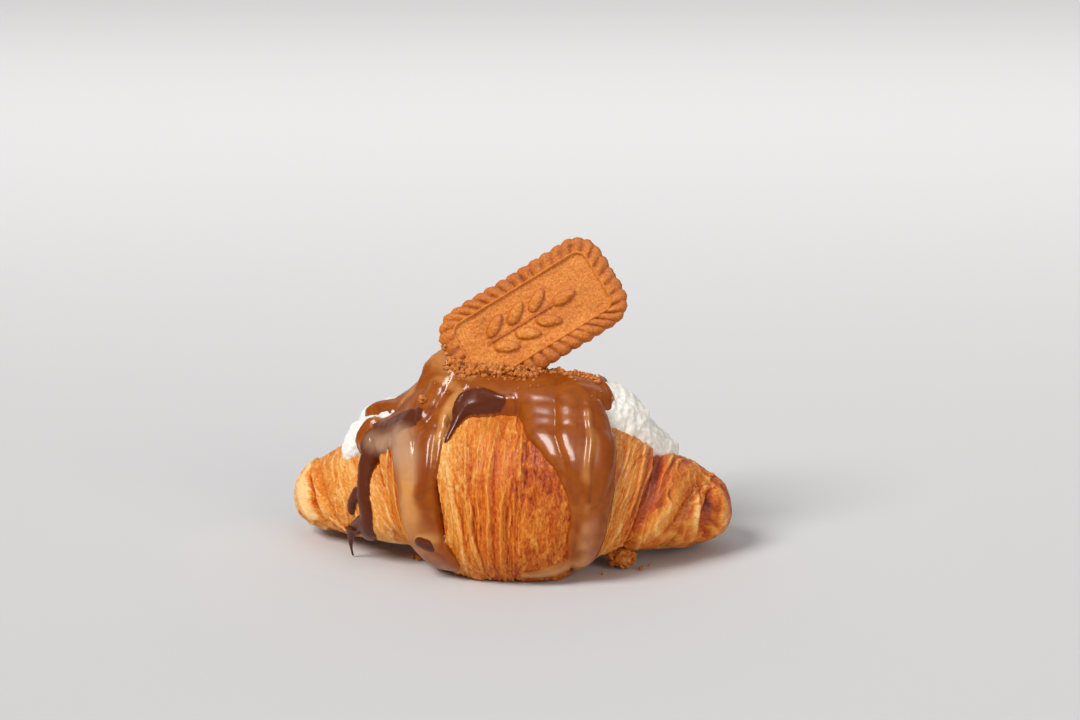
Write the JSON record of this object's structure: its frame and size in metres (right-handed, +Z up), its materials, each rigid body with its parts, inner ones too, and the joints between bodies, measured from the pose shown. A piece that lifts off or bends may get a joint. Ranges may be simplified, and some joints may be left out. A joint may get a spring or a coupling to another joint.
{
  "type": "filled croissant",
  "caption": "Croissant split along its top, filled with whipped cream, topped with biscuit-spread and chocolate sauce and a scalloped caramelised biscuit standing in the cream.",
  "frame": {"origin": "bottom centre of the whole's bounding box, on the table", "axes": "+Z up; +X along the chord between the tips, towards the end under the biscuit's raised corner; -Y towards the convex front of the crescent"},
  "size_m": [0.1516, 0.081, 0.1075],
  "materials": {
    "crust": "Baked laminated dough, egg-washed: golden brown, darker on the ridges of the layers, satin sheen.",
    "whipped_cream": "Whipped cream, warm white, soft and rough.",
    "sauce": "Glossy caramel-coloured biscuit spread, thinned and poured, marbled with dark chocolate sauce.",
    "biscuit": "Crisp caramelised biscuit, dry and finely grained."
  },
  "bodies": {
    "root": {"croissant": "crust", "whipped_cream": "whipped_cream", "sauce": "sauce", "biscuit": "biscuit"}
  },
  "joints": []
}
